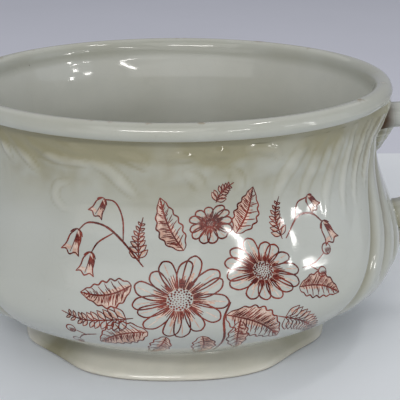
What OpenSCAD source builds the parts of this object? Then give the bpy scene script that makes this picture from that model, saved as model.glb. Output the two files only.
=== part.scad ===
// White glazed earthenware chamber pot with a flared rim, a moulded wall, a lobed foot and an ear handle.
// The handle points along +X, the front panel faces -Y, and the origin is the centre of the foot's underside.

/* [Wall] */
// Radius of the belly where it is widest
belly_r = 122; // [100:1:150]
// Radius of the neck below the rim
neck_r = 107.5; // [95:0.5:120]
// Radius of the wall where it stands on the foot
waist_r = 73; // [60:1:90]
// Height of the widest part above the foot
belly_rise = 41; // [30:1:60]
// Height of the neck above the widest part
shoulder_rise = 54; // [35:1:70]
// Fullness of the bowl under the widest part, where 1 is a plain cosine curve
bowl_fullness = 1.15; // [0.9:0.05:1.4]
// Height of the straight neck up to the rim
neck_rise = 21; // [12:1:35]
// Thickness of the pressed wall
wall = 5; // [3.5:0.5:7]
// Thickness of the bottom bat
floor_t = 5; // [3:0.5:7]

/* [Rim] */
// Spread of the flared and rolled rim, from the inside of the neck outwards
roll_w = 12; // [12:0.5:16]
// Height of the roll at the rim's edge
roll_h = 9; // [7:0.5:9]
// Height of the plain collar under the roll
collar_h = 3; // [1:0.5:6]

/* [Foot] */
// Height of the foot ring
foot_h = 11; // [8:0.5:16]
// Spread of the foot's lip beyond the waist
foot_flare = 12; // [8:0.5:15]
// Depth of the hollow moulding above the lip
foot_cove = 0.8; // [0.2:0.1:2]
// Depth of the four notches between the foot's lobes
foot_notch = 5; // [1:0.5:7]
// Depth of the shallow dip in the middle of each lobe
foot_dip = 2.4; // [0:0.2:4]
// Width of the flat ring that the pot stands on, inside the waist radius
foot_bearing = 7; // [5:0.5:12]

/* [Moulded ornament] */
// Angle from the handle line to the grooves that frame the front and back panels, at the neck
panel_angle = 21; // [18:1.5:27]
// Sweep of those grooves towards the panels from the neck down to the belly
panel_sweep = 18; // [0:1:24]
// Depth of the framing grooves
groove_d = 1.8; // [0.5:0.1:2.2]
// Height of the raised edge beside each groove
ridge_h = 0.8; // [0:0.1:1.5]
// Height of the upright ribs on the side panels
rib_h = 1.0; // [0:0.1:1.5]
// Angle from one upright rib to the next
rib_pitch = 9; // [7.5:0.5:15]
// Height of the leaf ribs around the neck
leaf_rib_h = 0.8; // [0:0.1:1.5]
// Angle from one leaf rib to the next
leaf_rib_pitch = 14; // [12:1:24]
// Depth of the band of leaf ribs below the neck
band_drop = 12; // [6:1:20]
// Depth of the soft valleys at the sides of the panels
valley_d = 0.8; // [0:0.1:1.5]
// Depth of the soft valleys between the lobes under the belly
lobe_d = 1.4; // [0:0.1:2]
// Swell of the folds that prop the rim on both sides of the handle
fold_h = 3; // [0:0.5:4]
// Drop of those folds below the rim's seat
fold_drop = 18; // [10:1:24]

/* [Handle] */
// Drop of the handle's upper root below the rim's seat
root_drop = 12.4; // [6.8:0.2:16]
// Height of the handle's lower root above the widest part
lower_root_rise = 8; // [0:1:14]
// Pull of the handle's upper bow away from the wall
upper_bow = 66; // [50:1:85]
// Pull of the handle's lower bow away from the wall
lower_bow = 66; // [50:1:85]
// Rise of the upper bow over its root
bow_rise = 12; // [0:1:17]
// Width of the handle's strap
strap_w = 17; // [12:0.5:20]
// Thickness of the handle's strap
strap_t = 11.6; // [8:0.2:12.4]
// Extra breadth of the strap where it is luted to the wall
root_flare = 0.16; // [0:0.02:0.2]

/* [Leaves under the handle] */
// Length of the upper leaf
upper_leaf_len = 13; // [10:1:24]
// Length of the lower leaf
lower_leaf_len = 28; // [16:1:32]
// Half width of both leaves where they are broadest
leaf_half_w = 14; // [8:0.5:18]
// Thickness of the leaves along their middle
leaf_t = 4.6; // [2:0.2:5]
// Extra thickness of the upper leaf where it props the handle
leaf_prop = 4; // [0:0.5:5]
// Thickness of the leaves at their edge
leaf_edge_t = 0.8; // [0.4:0.1:1.5]
// Number of veins on each side of a leaf
leaf_veins = 4; // [2:1:6]

/* [Joints] */
// Gap of the slip that fixes a piece to a curved wall
lute = 0.25; // [0.15:0.05:0.4]

/* [Hidden] */
$fn = 96;
belly_z = foot_h + belly_rise;
neck_z = belly_z + shoulder_rise;
seat_z = neck_z + neck_rise;
roll_z = seat_z + collar_h + roll_h / 2;
mouth_r = neck_r - wall;
floor_r = waist_r - wall;
foot_hole_r = waist_r - foot_bearing;
foot_top_hole_r = floor_r - foot_bearing;
glaze = "#e6e4da";
glaze_shade = "#d9d7cc";
angle_step = 3;
wall_rows = 26;
foot_rows = 8;
curve_points = 40;
strap_rings = 28;
strap_sides = 16;
leaf_rows = 14;
leaf_columns = 12;
bleed = 1;
groove_reach = 4.5;
ridge_shift = 6;
ridge_reach = 6;
handle_clear = 12;
valley_angle = 55;
valley_reach = 9;
band_scallop = 30;
sweep_on = 0.25;
groove_spread = 0.8;
lobe_reach = 8;
notch_angle = panel_angle + panel_sweep;
notch_reach = 17;
dip_reach = 24;
lip_share = 0.8;
cove_share = 0.65;
edge_share = 0.2;
fold_end = 38;
fold_fade = 18;
fade_share = 0.4;
belly_blend = 0.25;
band_wave = 0.4;
strap_sag = 0.38;
leaf_tip = 0.12;
leaf_start = 25;
leaf_taper = 0.85;
leaf_thinning = 0.6;
vein_d = 0.2;

// Eased step from 0 below low to 1 above high
function step_between(low, high, x) =
    let (t = max(0, min(1, (x - low) / (high - low))))
    t * t * (3 - 2 * t);

// Round bump of height 1 about a middle value, and nothing beyond its reach on either side
function bump(x, middle, reach) = pow(max(0, 1 - pow((x - middle) / reach, 2)), 2);

// Radius of the plain wall: a bowl under the belly, an ogee over it and a straight neck
function wall_r(z) =
    z <= belly_z ? waist_r + (belly_r - waist_r) * cos(90 * pow((belly_z - z) / belly_rise, bowl_fullness))
    : z < neck_z ? neck_r + (belly_r - neck_r) * (1 + cos(180 * (z - belly_z) / shoulder_rise)) / 2
    : neck_r;

// Slope of the plain wall: change of radius for each millimetre of height
function wall_slope(z) =
    z < belly_z ? let (t = (belly_z - z) / belly_rise)
        (belly_r - waist_r) * sin(90 * pow(t, bowl_fullness)) * PI / 2
            * bowl_fullness * pow(t, bowl_fullness - 1) / belly_rise
    : z < neck_z ? -(belly_r - neck_r) * sin(180 * (z - belly_z) / shoulder_rise) * PI / 2 / shoulder_rise
    : 0;

// Point of the bowl's inside, one wall thickness in from the outside at this height
function inner_point(z) =
    let (s = wall_slope(z), n = sqrt(1 + s * s))
    [wall_r(z) - wall / n, z + wall * s / n];

// Angle from the nearer side of the pot, where 0 is the handle line and its opposite
function side_angle(a) = abs((a + 90) % 180 - 90);

// Angle from the handle line to the framing groove at this height
function groove_angle(z) =
    panel_angle + panel_sweep * max(0, min(1 + sweep_on, (neck_z - z) / shoulder_rise));

// Groove and raised edge that frame the panels, upright ribs beside the handle, soft valleys and lobes
function panel_relief(a, z) =
    let (
        side = side_angle(a),
        line = groove_angle(z),
        below_rim = 1 - step_between(neck_z, seat_z - neck_rise * fade_share, z),
        above_foot = step_between(foot_h, foot_h + belly_rise * fade_share, z),
        under_z = belly_z - belly_rise * belly_blend,
        upright = below_rim * step_between(under_z, belly_z + belly_rise * belly_blend / 2, z),
        under_belly = above_foot * (1 - step_between(under_z, belly_z, z)),
        groove_w = groove_reach * (1 + groove_spread * (1 - step_between(foot_h, belly_z, z))),
        clear_of_handle = cos(a) > 0 ? step_between(handle_clear, handle_clear + angle_step, side) : 1,
        on_side = clear_of_handle * (1 - step_between(line - 2 * angle_step, line - angle_step, side))
    )
    upright * (
        ridge_h * bump(side, line + ridge_shift, ridge_reach)
        - rib_h * on_side * cos(360 * (line - side) / rib_pitch)
        - valley_d * bump(side, valley_angle, valley_reach)
    )
    - below_rim * above_foot * groove_d * bump(side, line, groove_w)
    - under_belly * lobe_d * bump(side, line / 2, lobe_reach);

// Band of slanting leaf ribs around the neck, with a scalloped lower edge over each panel
function leaf_relief(a, z) =
    let (
        from_middle = 90 - side_angle(a),
        panel_end = 90 - panel_angle - 2 * angle_step,
        edge = neck_z - band_drop * (1 - band_wave + band_wave * abs(sin(180 * from_middle / band_scallop))),
        on_panel = 1 - step_between(panel_end - angle_step, panel_end, from_middle),
        slant = from_middle / leaf_rib_pitch + 2 * (z - neck_z) / shoulder_rise,
        on_band = step_between(edge - band_drop / 3, edge + band_drop / 6, z)
            * (1 - step_between(seat_z - neck_rise * fade_share, seat_z - neck_rise * fade_share / 3, z))
    )
    leaf_rib_h * on_panel * on_band * (1 - band_wave + band_wave * cos(360 * slant));

// Folds that swell out under the rim on both sides of the handle's upper root
function fold_relief(a, z) =
    let (
        side = side_angle(a),
        rise = max(0, (z - seat_z + fold_drop) / fold_drop),
        beside_root = step_between(2 * angle_step, 3 * angle_step, side)
    )
    cos(a) < 0 ? 0 : fold_h * rise * beside_root * (1 - step_between(fold_end - fold_fade, fold_end, side));

// Point of the moulded outside
function outer_point(a, z) =
    let (r = wall_r(z) + panel_relief(a, z) + leaf_relief(a, z) + fold_relief(a, z))
    [r * cos(a), r * sin(a), z];

// Faces of a grid of points, two triangles to each cell
function grid_faces(rows, columns) = [
    for (i = [0 : rows - 1], j = [0 : columns - 1])
        let (p = i * (columns + 1) + j, q = p + columns + 1)
            each [[p, q, q + 1], [p, q + 1, p + 1]]
];

// Height of one row of the wall's points
function row_z(i) = foot_h + (seat_z - foot_h) * i / wall_rows;

// Outline of the bowl's smooth inside, row by row from the bottom bat's seat up to the rim's seat
inner_curve = concat([[floor_r, foot_h]], [for (i = [1 : wall_rows]) inner_point(row_z(i))]);

// Spread of the bottom bat's bevelled edge for each millimetre of its thickness
floor_spread = (inner_curve[1][0] - floor_r) / (inner_curve[1][1] - foot_h);

// Triangles between two cells of an outer edge and one cell of an inner edge, all along both edges
function edge_faces(outer, inner) = [
    for (k = [0 : len(inner) - 2])
        let (o = 2 * k)
            each [
                [outer[o], outer[o + 1], inner[k]],
                [outer[o + 1], inner[k + 1], inner[k]],
                [outer[o + 1], outer[o + 2], inner[k + 1]]
            ]
];

// The same triangles seen from their other side
function turned(faces) = [for (f = faces) [f[2], f[1], f[0]]];

// Half of the wall as a shell: moulded outside, smooth inside, flat top, bottom and seam faces
module half_wall(start) {
    columns = 180 / angle_step;
    inner_columns = columns / 2;
    outside = [
        for (i = [0 : wall_rows], j = [0 : columns])
            outer_point(start + j * angle_step, row_z(i))
    ];
    inside = [
        for (p = inner_curve, j = [0 : inner_columns])
            let (a = start + 2 * j * angle_step)
                [p[0] * cos(a), p[0] * sin(a), p[1]]
    ];
    first = len(outside);
    function outer_row(i) = [for (j = [0 : columns]) i * (columns + 1) + j];
    function inner_row(i) = [for (j = [0 : inner_columns]) first + i * (inner_columns + 1) + j];
    function seam(outer_column, inner_column) = [
        for (i = [0 : wall_rows - 1])
            let (
                o = i * (columns + 1) + outer_column,
                n = first + i * (inner_columns + 1) + inner_column,
                o_next = o + columns + 1,
                n_next = n + inner_columns + 1
            )
                each [[o, o_next, n_next], [o, n_next, n]]
    ];
    inside_faces = [for (f = grid_faces(wall_rows, inner_columns)) [f[2] + first, f[1] + first, f[0] + first]];
    polyhedron(
        concat(outside, inside),
        concat(
            grid_faces(wall_rows, columns),
            inside_faces,
            edge_faces(outer_row(0), inner_row(0)),
            turned(edge_faces(outer_row(wall_rows), inner_row(wall_rows))),
            turned(seam(0, 0)),
            seam(columns, inner_columns)
        )
    );
}

// Plain outside of the wall, grown by the slip's gap, that pieces luted to the wall are cut by
module luting_face() {
    rotate_extrude()
        polygon(concat(
            [[0, foot_h]],
            [
                for (i = [0 : curve_points])
                    let (z = foot_h + (seat_z - foot_h) * i / curve_points)
                        [wall_r(z) + lute, z]
            ],
            [[0, seat_z]]
        ));
}

module front_wall() {
    color(glaze)
        half_wall(180);
}

module back_wall() {
    color(glaze)
        half_wall(0);
}

module floor() {
    color(glaze_shade)
        translate([0, 0, foot_h])
            cylinder(r1 = floor_r - lute, r2 = floor_r - lute + floor_t * floor_spread, h = floor_t);
}

// Radius of the foot ring: a hollow moulding over a flared, lobed lip with a rounded lower edge
function foot_r(a, z) =
    let (
        t = z / foot_h,
        side = side_angle(a),
        lip = t < lip_share ? pow(cos(90 * t / lip_share), 2) : 0,
        hollow = t > 1 - cove_share ? sin(180 * (1 - t) / cove_share) : 0,
        under = t < edge_share ? pow(1 - t / edge_share, 2) : 0,
        notch = foot_notch * bump(side, notch_angle, notch_reach),
        dip = foot_dip * (bump(side, 90, dip_reach) + bump(side, 0, dip_reach))
    )
    waist_r + lip * (foot_flare - notch - dip) - foot_cove * hollow - under;

module foot_ring() {
    columns = 360 / angle_step;
    points = [
        for (i = [0 : foot_rows], j = [0 : columns - 1])
            let (z = foot_h * i / foot_rows, a = j * angle_step, r = foot_r(a, z))
                [r * cos(a), r * sin(a), z]
    ];
    sides = [
        for (i = [0 : foot_rows - 1], j = [0 : columns - 1])
            let (p = i * columns + j, p2 = i * columns + (j + 1) % columns)
                each [[p, p + columns, p2 + columns], [p, p2 + columns, p2]]
    ];
    bottom = [for (j = [0 : columns - 1]) j];
    top = [for (j = [columns - 1 : -1 : 0]) foot_rows * columns + j];
    color(glaze_shade)
        difference() {
            polyhedron(points, concat(sides, [bottom, top]));
            rotate_extrude()
                polygon([
                    [0, -bleed],
                    [foot_hole_r, -bleed],
                    [foot_hole_r, 0],
                    [foot_top_hole_r, foot_h],
                    [foot_top_hole_r, foot_h + bleed],
                    [0, foot_h + bleed]
                ]);
        }
}

// Radius of the rim's inner flare, upright where it leaves the wall and flush with the roll at its edge
round_r = roll_h / 2;
roll_offset = roll_w - round_r;
flare_r = (pow(roll_offset, 2) + pow(roll_z - seat_z, 2) - pow(round_r, 2)) / (2 * (roll_offset - round_r));
roll_middle = [mouth_r + roll_offset, roll_z];
flare_middle = [mouth_r + flare_r, seat_z];
flare_end = flare_middle + (roll_middle - flare_middle) * flare_r / (flare_r - round_r);

module rim_roll() {
    color(glaze)
        rotate_extrude()
            union() {
                translate(roll_middle)
                    circle(r = round_r);
                intersection() {
                    translate(flare_middle)
                        circle(r = flare_r);
                    polygon([
                        [mouth_r, seat_z],
                        [neck_r, seat_z],
                        [neck_r, roll_z - round_r],
                        [roll_middle[0], roll_z - round_r],
                        roll_middle,
                        flare_end,
                        [mouth_r, flare_end[1]]
                    ]);
                }
            }
}

// Four corners of the curve that the handle's middle line follows, in radius and height
upper_root = [neck_r - wall / 2, seat_z - root_drop];
lower_root_z = belly_z + lower_root_rise;
lower_root = [wall_r(lower_root_z) - wall / 2, lower_root_z];
upper_pull = upper_root + [upper_bow, bow_rise];
lower_pull = lower_root + [lower_bow, (upper_root[1] - lower_root[1]) * strap_sag];

// Point of the handle's middle line, from the upper root at 0 to the lower root at 1
function strap_point(t) =
    pow(1 - t, 3) * upper_root
    + 3 * t * pow(1 - t, 2) * upper_pull
    + 3 * t * t * (1 - t) * lower_pull
    + pow(t, 3) * lower_root;

// Direction square to the middle line, in radius and height
function strap_normal(t) =
    let (
        d = 3 * (
            pow(1 - t, 2) * (upper_pull - upper_root)
            + 2 * t * (1 - t) * (lower_pull - upper_pull)
            + t * t * (lower_root - lower_pull)
        )
    )
    [-d[1], d[0]] / norm(d);

module handle() {
    points = [
        for (i = [0 : strap_rings], j = [0 : strap_sides - 1])
            let (
                t = i / strap_rings,
                c = strap_point(t),
                n = strap_normal(t),
                broad = 1 + root_flare * pow(cos(180 * t), 4),
                a = 360 * j / strap_sides,
                up = strap_t / 2 * broad * sin(a)
            )
                [c[0] + n[0] * up, strap_w / 2 * broad * cos(a), c[1] + n[1] * up]
    ];
    sides = [
        for (i = [0 : strap_rings - 1], j = [0 : strap_sides - 1])
            let (p = i * strap_sides + j, p2 = i * strap_sides + (j + 1) % strap_sides)
                each [[p, p2, p2 + strap_sides], [p, p2 + strap_sides, p + strap_sides]]
    ];
    first = [for (j = [strap_sides - 1 : -1 : 0]) j];
    last = [for (j = [0 : strap_sides - 1]) strap_rings * strap_sides + j];
    color(glaze)
        difference() {
            polyhedron(points, concat(sides, [first, last]));
            luting_face();
        }
}

// Leaf that lies on the wall under the handle, broad at the top and pointed at the tip
module leaf(top_z, length, prop) {
    function half_width(v) =
        leaf_half_w * (leaf_tip + (1 - leaf_tip) * sin(leaf_start + (180 - leaf_start) * v))
        * (1 - leaf_taper * v * v);
    function thickness(u, v) =
        let (vein = 1 - vein_d + vein_d * cos(360 * leaf_veins * (v + abs(u) / 4)))
        leaf_edge_t
        + (1 - u * u) * ((leaf_t - leaf_edge_t) * (1 - leaf_thinning * v) * vein + prop * pow(1 - v, 3));
    function leaf_point(u, v, rise) =
        let (
            z = top_z - length * v,
            r = wall_r(z) + lute + rise,
            a = half_width(v) * u / wall_r(z) * 180 / PI
        )
        [r * cos(a), r * sin(a), z];
    across = [for (j = [0 : leaf_columns]) 2 * j / leaf_columns - 1];
    count = (leaf_rows + 1) * (leaf_columns + 1);
    face = [
        for (i = [0 : leaf_rows], u = across)
            leaf_point(u, i / leaf_rows, thickness(u, i / leaf_rows))
    ];
    back = [for (i = [0 : leaf_rows], u = across) leaf_point(u, i / leaf_rows, 0)];
    front_faces = grid_faces(leaf_rows, leaf_columns);
    back_faces = [for (f = front_faces) [f[2] + count, f[1] + count, f[0] + count]];
    rim = concat(
        [for (j = [0 : leaf_columns]) j],
        [for (i = [1 : leaf_rows]) i * (leaf_columns + 1) + leaf_columns],
        [for (j = [leaf_columns - 1 : -1 : 0]) leaf_rows * (leaf_columns + 1) + j],
        [for (i = [leaf_rows - 1 : -1 : 1]) i * (leaf_columns + 1)]
    );
    edge_faces = [
        for (k = [0 : len(rim) - 1])
            let (p = rim[k], q = rim[(k + 1) % len(rim)])
                each [[p, q, q + count], [p, q + count, p + count]]
    ];
    polyhedron(concat(face, back), concat(front_faces, back_faces, edge_faces));
}

// Height of the strap's lower face where it meets the wall, so that a leaf starts just below it
root_half = strap_t / 2 * (1 + root_flare);

module upper_leaf() {
    color(glaze)
        leaf(upper_root[1] - root_half - lute * 4, upper_leaf_len, leaf_prop);
}

module lower_leaf() {
    color(glaze)
        leaf(lower_root[1] - root_half - lute * 4, lower_leaf_len, 0);
}

front_wall();
back_wall();
floor();
foot_ring();
rim_roll();
handle();
upper_leaf();
lower_leaf();
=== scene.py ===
import math
import random

import bpy
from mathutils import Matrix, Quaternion, Vector


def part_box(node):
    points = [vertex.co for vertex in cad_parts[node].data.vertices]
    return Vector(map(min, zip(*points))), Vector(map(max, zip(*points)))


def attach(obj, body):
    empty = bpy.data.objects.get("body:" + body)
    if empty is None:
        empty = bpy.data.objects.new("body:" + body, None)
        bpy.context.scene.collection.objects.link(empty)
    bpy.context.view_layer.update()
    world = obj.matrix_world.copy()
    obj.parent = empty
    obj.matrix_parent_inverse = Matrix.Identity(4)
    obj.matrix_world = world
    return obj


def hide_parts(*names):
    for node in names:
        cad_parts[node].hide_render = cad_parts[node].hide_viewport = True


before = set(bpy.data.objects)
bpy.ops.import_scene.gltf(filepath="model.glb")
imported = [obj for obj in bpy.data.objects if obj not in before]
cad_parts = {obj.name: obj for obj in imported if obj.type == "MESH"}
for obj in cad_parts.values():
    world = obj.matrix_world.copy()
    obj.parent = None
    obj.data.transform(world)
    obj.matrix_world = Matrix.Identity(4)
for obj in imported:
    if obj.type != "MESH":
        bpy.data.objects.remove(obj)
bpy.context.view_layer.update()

# Bowl wall: two halves of white earthenware pressed in a mould, luted on the handle's line and glazed as one
# skin. The mould gives the waisted section, the swept grooves and the leaf ribs; the inside is wiped smooth,
# and the glaze lies thicker and greyer in the hollows, under the rim and over the foot. Under the rim the
# greyer colour is partly painted shade; the inside and the bottom of the outside are painted lighter as
# painted light, and beside the handle the valleys, folds and root crack are painted dark as painted shade.
mm = 0.001
wall_low, wall_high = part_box("front_wall")
foot_top = wall_low.z
rim_seat = wall_high.z
waist_radius = 73 * mm
belly_radius = 121.9 * mm
bowl_fullness = 1.15
neck_radius = 107.5 * mm
belly_height = foot_top + 41 * mm
neck_height = belly_height + 54 * mm
wall_thick = 5 * mm
floor_radius = 68 * mm
sheet_radius = 110 * mm


class Rule:
    """A number that a node tree works out, so that a shape's rule can be written as plain arithmetic."""

    def __init__(self, tree, socket):
        self.tree = tree
        self.socket = socket

    def by(self, operation, *others):
        node = self.tree.nodes.new("ShaderNodeMath")
        node.operation = operation
        for place, value in enumerate((self,) + others):
            feed(node.inputs[place], value)
        return Rule(self.tree, node.outputs[0])

    def __add__(self, other):
        return self.by("ADD", other)

    def __sub__(self, other):
        return self.by("SUBTRACT", other)

    def __rsub__(self, other):
        return self.by("MULTIPLY", -1.0) + other

    def __mul__(self, other):
        return self.by("MULTIPLY", other)

    def __truediv__(self, other):
        return self.by("DIVIDE", other)

    __radd__ = __add__
    __rmul__ = __mul__

    def between(self, low, high):
        return self.by("MAXIMUM", low).by("MINIMUM", high)


def feed(socket, value):
    if isinstance(value, Rule):
        value.tree.links.new(value.socket, socket)
    else:
        socket.default_value = value


def node_in(tree, kind, settings=None, feeds=None):
    node = tree.nodes.new(kind)
    for label, value in (settings or {}).items():
        setattr(node, label, value)
    for label, value in (feeds or {}).items():
        feed(node.inputs[label], value)
    return node


def made(tree, kind, output=0, settings=None, feeds=None):
    return Rule(tree, node_in(tree, kind, settings, feeds).outputs[output])


def spread_out(vector):
    node = node_in(vector.tree, "ShaderNodeSeparateXYZ", feeds={0: vector})
    return [Rule(vector.tree, socket) for socket in node.outputs]


def gathered(x, y, z):
    tree = next(value.tree for value in (x, y, z) if isinstance(value, Rule))
    return made(tree, "ShaderNodeCombineXYZ", feeds={0: x, 1: y, 2: z})


def eased(value, low, high):
    return made(value.tree, "ShaderNodeMapRange", settings={"interpolation_type": "SMOOTHSTEP"},
                feeds={"Value": value, "From Min": low, "From Max": high})


def swelling(value, middle, reach):
    away = (value - middle) / reach
    return (1.0 - away * away).by("MAXIMUM", 0.0).by("POWER", 2.0)


def cloudy(place, scale, detail=2.0):
    return made(place.tree, "ShaderNodeTexNoise", feeds={"Vector": place, "Scale": scale, "Detail": detail})


def form_tree(name, sizes):
    kinds = {float: "NodeSocketFloat", int: "NodeSocketInt", bpy.types.Object: "NodeSocketObject",
             bpy.types.Material: "NodeSocketMaterial", bpy.types.Mesh: "NodeSocketGeometry"}
    tree = bpy.data.node_groups.new(name, "GeometryNodeTree")
    tree.interface.new_socket("Form", in_out="OUTPUT", socket_type="NodeSocketGeometry")
    for label, value in sizes.items():
        tree.interface.new_socket(label, in_out="INPUT", socket_type=kinds[type(value)])
    entry = tree.nodes.new("NodeGroupInput")
    return tree, {label: Rule(tree, entry.outputs[label]) for label in sizes}


crease_angle = 0.7


def close_tree(form, material):
    smooth = made(form.tree, "GeometryNodeSetShadeSmooth", feeds={"Geometry": form})
    corner = made(form.tree, "GeometryNodeInputMeshEdgeAngle").by("GREATER_THAN", crease_angle)
    crisp = made(form.tree, "GeometryNodeSetShadeSmooth", 0, {"domain": "EDGE"},
                 {"Geometry": smooth, "Selection": corner, "Shade Smooth": False})
    real = made(form.tree, "GeometryNodeRealizeInstances", feeds={"Geometry": crisp})
    coated = made(form.tree, "GeometryNodeSetMaterial", feeds={"Geometry": real, "Material": material})
    feed(form.tree.nodes.new("NodeGroupOutput").inputs[0], coated)


def shown(name, mesh):
    piece = bpy.data.objects.new(name, mesh)
    bpy.context.scene.collection.objects.link(piece)
    return piece


def grown(name, tree, sizes):
    start = next((value for value in sizes.values() if isinstance(value, bpy.types.Mesh)), None)
    blank = shown(name + "_blank", start or bpy.data.meshes.new(name + "_blank"))
    modifier = blank.modifiers.new("form", "NODES")
    modifier.node_group = tree
    for socket in tree.interface.items_tree:
        if socket.in_out == "INPUT" and not isinstance(sizes[socket.name], bpy.types.Mesh):
            modifier[socket.identifier] = sizes[socket.name]
    depsgraph = bpy.context.evaluated_depsgraph_get()
    mesh = bpy.data.meshes.new_from_object(blank.evaluated_get(depsgraph), preserve_all_data_layers=True,
                                           depsgraph=depsgraph)
    bpy.data.objects.remove(blank)
    return shown(name, mesh)


def tint(red, green, blue):
    def straight(value):
        value /= 255
        return value / 12.92 if value <= 0.04045 else ((value + 0.055) / 1.055) ** 2.4
    return straight(red), straight(green), straight(blue), 1.0


def blended(factor, first, second):
    return made(factor.tree, "ShaderNodeMix", 2, {"data_type": "RGBA"}, {0: factor, 6: first, 7: second})


# The glaze's colour, gloss and skin, from its place on the pot and the marks kept on each mesh; the marks for
# pooled and thin glaze and for grime also carry painted shade and painted light
glaze_skin = bpy.data.node_groups.new("aged_glaze", "ShaderNodeTree")
for label, kind in (("Place", "Vector"), ("Clean", "Color"), ("Pooled_and_shaded", "Color"), ("Worn", "Color"),
                    ("Stained_and_shaded", "Color"), ("Thin_and_lit", "Color"), ("Pooling", "Float"), ("Wear", "Float"),
                    ("Stain", "Float"), ("Thinness", "Float")):
    glaze_skin.interface.new_socket(label, in_out="INPUT", socket_type="NodeSocket" + kind)
for label, kind in (("Colour", "Color"), ("Gloss", "Float"), ("Skin", "Float")):
    glaze_skin.interface.new_socket(label, in_out="OUTPUT", socket_type="NodeSocket" + kind)
entry = glaze_skin.nodes.new("NodeGroupInput")
given = {socket.name: Rule(glaze_skin, socket) for socket in entry.outputs if socket.name}
place = given["Place"]
broad_cloud = cloudy(place, 14.0)
fine_cloud = cloudy(place, 90.0, 4.0)
pool_and_shade_share = given["Pooling"] * (0.2 + 1.5 * cloudy(place, 38.0)) + 0.12 * eased(broad_cloud, 0.42, 0.7)
thin_and_lit_share = (given["Thinness"] * (0.6 + 0.8 * fine_cloud)).between(0.0, 1.0)
colour = blended(thin_and_lit_share, given["Clean"], given["Thin_and_lit"])
colour = blended(pool_and_shade_share.between(0.0, 1.0), colour, given["Pooled_and_shaded"])
speck_node = node_in(glaze_skin, "ShaderNodeTexVoronoi", feeds={"Vector": place, "Scale": 120.0})
speck_chance = spread_out(Rule(glaze_skin, speck_node.outputs["Color"]))[0]
speck_near = 1.0 - eased(Rule(glaze_skin, speck_node.outputs["Distance"]), 0.02, 0.06)
colour = blended(speck_near * eased(speck_chance, 0.955, 0.965) * 0.75, colour, given["Stained_and_shaded"])
bent = made(glaze_skin, "ShaderNodeVectorMath", 0, {"operation": "MULTIPLY_ADD"},
            {0: made(glaze_skin, "ShaderNodeTexNoise", 1, feeds={"Vector": place, "Scale": 60.0}),
             1: (0.006, 0.006, 0.006), 2: place})
crack = made(glaze_skin, "ShaderNodeTexVoronoi", 0, {"feature": "DISTANCE_TO_EDGE"},
             {"Vector": bent, "Scale": 95.0})
colour = blended((1.0 - eased(crack, 0.006, 0.02)) * 0.025, colour, given["Stained_and_shaded"])
wear_share = given["Wear"] * eased(cloudy(place, 130.0, 5.0), 0.6, 0.68)
colour = blended(wear_share * 0.8, colour, given["Worn"])
stain_and_shade_share = (given["Stain"] * (0.35 + 1.3 * fine_cloud)).between(0.0, 1.0)
colour = blended(stain_and_shade_share, colour, given["Stained_and_shaded"])
leave = glaze_skin.nodes.new("NodeGroupOutput")
feed(leave.inputs["Colour"], colour)
feed(leave.inputs["Gloss"], 0.05 + 0.05 * fine_cloud + 0.4 * wear_share + 0.75 * stain_and_shade_share)
feed(leave.inputs["Skin"], cloudy(place, 42.0, 1.0) + 0.12 * fine_cloud)

glaze = bpy.data.materials.new("grey_white_glaze")
glaze.use_nodes = True
paint = glaze.node_tree
gloss = paint.nodes["Principled BSDF"]
gloss.inputs["IOR"].default_value = 1.5
marks = {label: made(paint, "ShaderNodeAttribute", "Fac", {"attribute_name": label.lower()})
         for label in ("Pooling", "Wear", "Stain", "Thinness")}
coat = node_in(paint, "ShaderNodeGroup", {"node_tree": glaze_skin})
for label, value in {**marks, "Place": made(paint, "ShaderNodeTexCoord", "Object"),
                     "Clean": tint(180, 183, 178), "Pooled_and_shaded": tint(142, 138, 112), "Thin_and_lit": tint(228, 225, 214),
                     "Worn": tint(120, 103, 74), "Stained_and_shaded": tint(70, 48, 24)}.items():
    feed(coat.inputs[label], value)
feed(gloss.inputs["Base Color"], Rule(paint, coat.outputs["Colour"]))
feed(gloss.inputs["Roughness"], Rule(paint, coat.outputs["Gloss"]))
feed(gloss.inputs["Normal"], made(paint, "ShaderNodeBump", 0, feeds={
    "Strength": 0.12, "Distance": 0.0016, "Height": Rule(paint, coat.outputs["Skin"])}))


def smooth_path(points, step):
    """Points a step apart on a smooth curve through the given ones, each with its share of the way."""
    ends = [2 * Vector(points[0]) - Vector(points[1]), *map(Vector, points),
            2 * Vector(points[-1]) - Vector(points[-2])]
    dense = []
    for before, start, stop, after in zip(ends, ends[1:], ends[2:], ends[3:]):
        parts = max(2, round((stop - start).length / step))
        for part in range(parts):
            t = part / parts
            dense.append(0.5 * (2 * start + (stop - before) * t
                                + (2 * before - 5 * start + 4 * stop - after) * t ** 2
                                + (3 * start - before - 3 * stop + after) * t ** 3))
    dense.append(ends[-2])
    return [(point, number / (len(dense) - 1)) for number, point in enumerate(dense)]


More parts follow.
